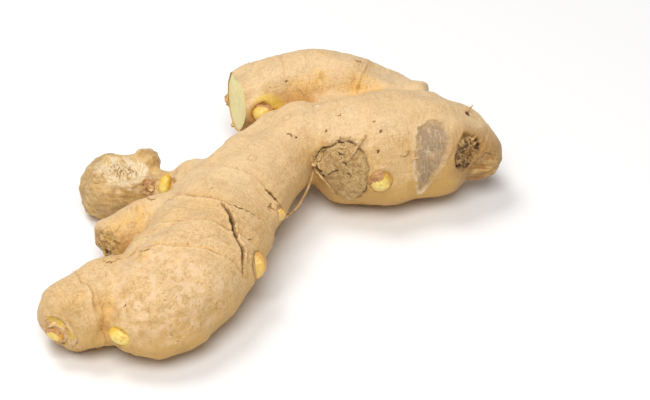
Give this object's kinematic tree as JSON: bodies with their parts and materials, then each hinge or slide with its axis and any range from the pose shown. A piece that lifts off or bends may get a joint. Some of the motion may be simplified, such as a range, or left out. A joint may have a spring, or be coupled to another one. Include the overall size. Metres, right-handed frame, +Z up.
{
  "type": "ginger root",
  "caption": "Hand of fresh ginger root: a knobbly rhizome with stubby branching fingers, node rings, buds, scars and one cut end, lying on a surface.",
  "frame": {"origin": "under the middle of the bounding box, on the surface that the root lies on", "axes": "+X runs along the longest way across the hand, from the small gnarled finger towards the end of the big knob. +Y points away from the two fingers that lie in front. +Z is up from the surface it lies on."},
  "size_m": [0.1626, 0.1426, 0.0435],
  "materials": {
    "skin": "dry papery tan skin, matt, with darker node rings and fine lengthwise fibres",
    "bud": "smooth waxy yellow bud tips with pinkish scales",
    "flesh": "moist pale yellow-green cut flesh with fibre ends"
  },
  "bodies": {
    "root": {"rhizome": "skin"}
  },
  "joints": []
}
